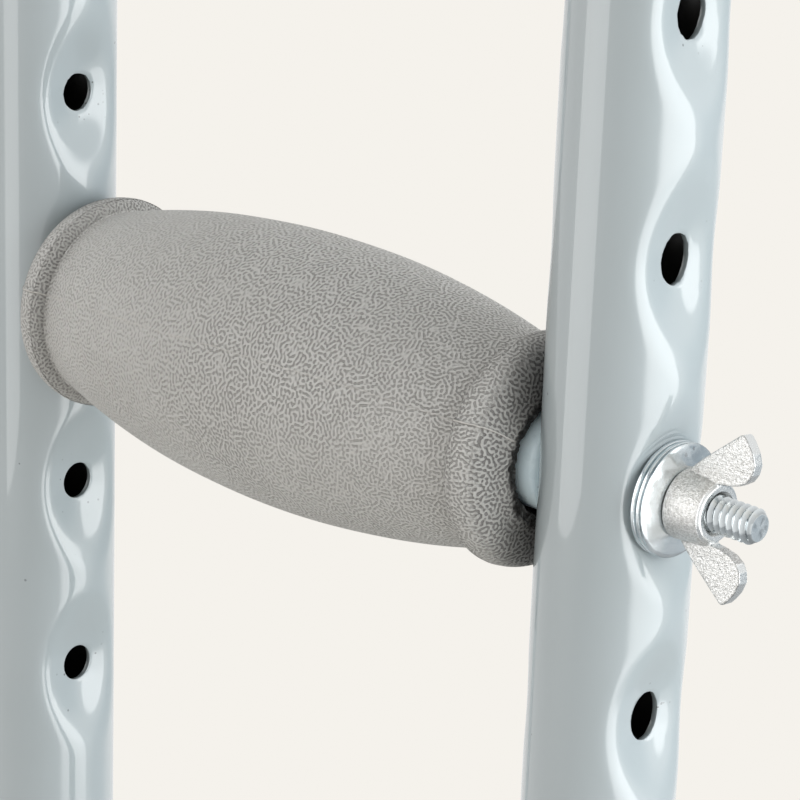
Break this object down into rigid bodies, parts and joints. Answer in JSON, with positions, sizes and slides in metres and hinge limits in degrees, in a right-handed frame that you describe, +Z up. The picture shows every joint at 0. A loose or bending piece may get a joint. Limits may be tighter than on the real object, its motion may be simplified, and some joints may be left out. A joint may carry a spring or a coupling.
{
  "type": "pair of crutches",
  "caption": "Upright underarm crutches in painted steel tube with pressed rows of holes, a bolted foam hand grip, an underarm pad and a push-button leg on a rubber tip.",
  "frame": {"origin": "on the floor, halfway between the two tips", "axes": "+Z up, +X from the head side to the wing-nut side of both hand grips and from the left crutch to the right one, -Y the side of the snap buttons"},
  "size_m": [0.5016, 0.0484, 1.2286],
  "materials": {
    "paint": "glossy pale blue-grey enamel",
    "grip_foam": "warm grey moulded foam with a leather-like grain",
    "grip_core": "light blue-grey moulded plastic",
    "zinc_steel": "bright zinc plate",
    "cast_zinc": "sparkling cast faces with smooth bright rims",
    "spring_steel": "bare spring steel",
    "moulded_plastic": "grey moulded plastic",
    "plug_plastic": "dark moulded plastic",
    "pad_rubber": "grey sponge rubber with a fine skin",
    "tip_rubber": "grey moulded rubber"
  },
  "bodies": {
    "right_frame": {"right_bow_nut_side": "paint", "right_bow_head_side": "paint", "right_centre_tube": "paint", "right_bow_plug_nut_side": "plug_plastic", "right_bow_plug_head_side": "plug_plastic", "right_centre_plug": "plug_plastic", "right_frame_rivet_lower": "zinc_steel", "right_frame_rivet_upper": "zinc_steel", "right_underarm_saddle": "moulded_plastic", "right_saddle_pin_nut_side": "zinc_steel", "right_saddle_pin_head_side": "zinc_steel", "right_underarm_pad": "pad_rubber", "right_grip_foam": "grip_foam", "right_grip_core": "grip_core", "right_grip_bolt": "zinc_steel", "right_head_washer": "zinc_steel"},
    "right_washers": {"right_washer_inner": "zinc_steel", "right_washer_middle": "zinc_steel", "right_washer_outer": "zinc_steel"},
    "right_nut": {"right_wing_nut": "cast_zinc"},
    "right_leg": {"right_leg_tube": "paint", "right_button_spring": "spring_steel", "right_rubber_tip": "tip_rubber", "right_tip_disc": "zinc_steel"},
    "right_button": {"right_snap_button": "zinc_steel"},
    "left_frame": {"left_bow_nut_side": "paint", "left_bow_head_side": "paint", "left_centre_tube": "paint", "left_bow_plug_nut_side": "plug_plastic", "left_bow_plug_head_side": "plug_plastic", "left_centre_plug": "plug_plastic", "left_frame_rivet_lower": "zinc_steel", "left_frame_rivet_upper": "zinc_steel", "left_underarm_saddle": "moulded_plastic", "left_saddle_pin_nut_side": "zinc_steel", "left_saddle_pin_head_side": "zinc_steel", "left_underarm_pad": "pad_rubber", "left_grip_foam": "grip_foam", "left_grip_core": "grip_core", "left_grip_bolt": "zinc_steel", "left_head_washer": "zinc_steel"},
    "left_washers": {"left_washer_inner": "zinc_steel", "left_washer_middle": "zinc_steel", "left_washer_outer": "zinc_steel"},
    "left_nut": {"left_wing_nut": "cast_zinc"},
    "left_leg": {"left_leg_tube": "paint", "left_button_spring": "spring_steel", "left_rubber_tip": "tip_rubber", "left_tip_disc": "zinc_steel"},
    "left_button": {"left_snap_button": "zinc_steel"}
  },
  "joints": [
    {"name": "right_washers_slide", "type": "slide", "parent": "right_frame", "child": "right_washers", "axis": [1, 0, 0], "range_m": [0, 0.0077]},
    {"name": "right_nut_turn", "type": "hinge", "parent": "right_washers", "child": "right_nut", "pos_m": [0.225, 0, 0.8402], "axis": [1, 0, 0], "range_deg": [0, 2160]},
    {"name": "right_leg_slide", "type": "slide", "parent": "right_frame", "child": "right_leg", "axis": [0, 0, 1], "range_m": [-0.0762, 0.0762]},
    {"name": "right_button_press", "type": "slide", "parent": "right_leg", "child": "right_button", "axis": [0, 1, 0], "range_m": [0, 0.0039], "stiffness_N_per_m": 1200, "springref_m": -0.004, "deforming": ["right_button_spring"]},
    {"name": "left_crutch_lift", "type": "slide", "parent": "right_frame", "child": "left_frame", "axis": [0, 0, 1], "range_m": [0, 0.3]},
    {"name": "left_washers_slide", "type": "slide", "parent": "left_frame", "child": "left_washers", "axis": [1, 0, 0], "range_m": [0, 0.0077]},
    {"name": "left_nut_turn", "type": "hinge", "parent": "left_washers", "child": "left_nut", "pos_m": [-0.055, 0, 0.8402], "axis": [1, 0, 0], "range_deg": [0, 2160]},
    {"name": "left_leg_slide", "type": "slide", "parent": "left_frame", "child": "left_leg", "axis": [0, 0, 1], "range_m": [-0.0762, 0.0762]},
    {"name": "left_button_press", "type": "slide", "parent": "left_leg", "child": "left_button", "axis": [0, 1, 0], "range_m": [0, 0.0039], "stiffness_N_per_m": 1200, "springref_m": -0.004, "deforming": ["left_button_spring"]}
  ],
  "couplings": [
    {"joint": "right_washers_slide", "follows": "right_nut_turn", "m_per_rad": 0.00020213},
    {"joint": "left_washers_slide", "follows": "left_nut_turn", "m_per_rad": 0.00020213}
  ]
}
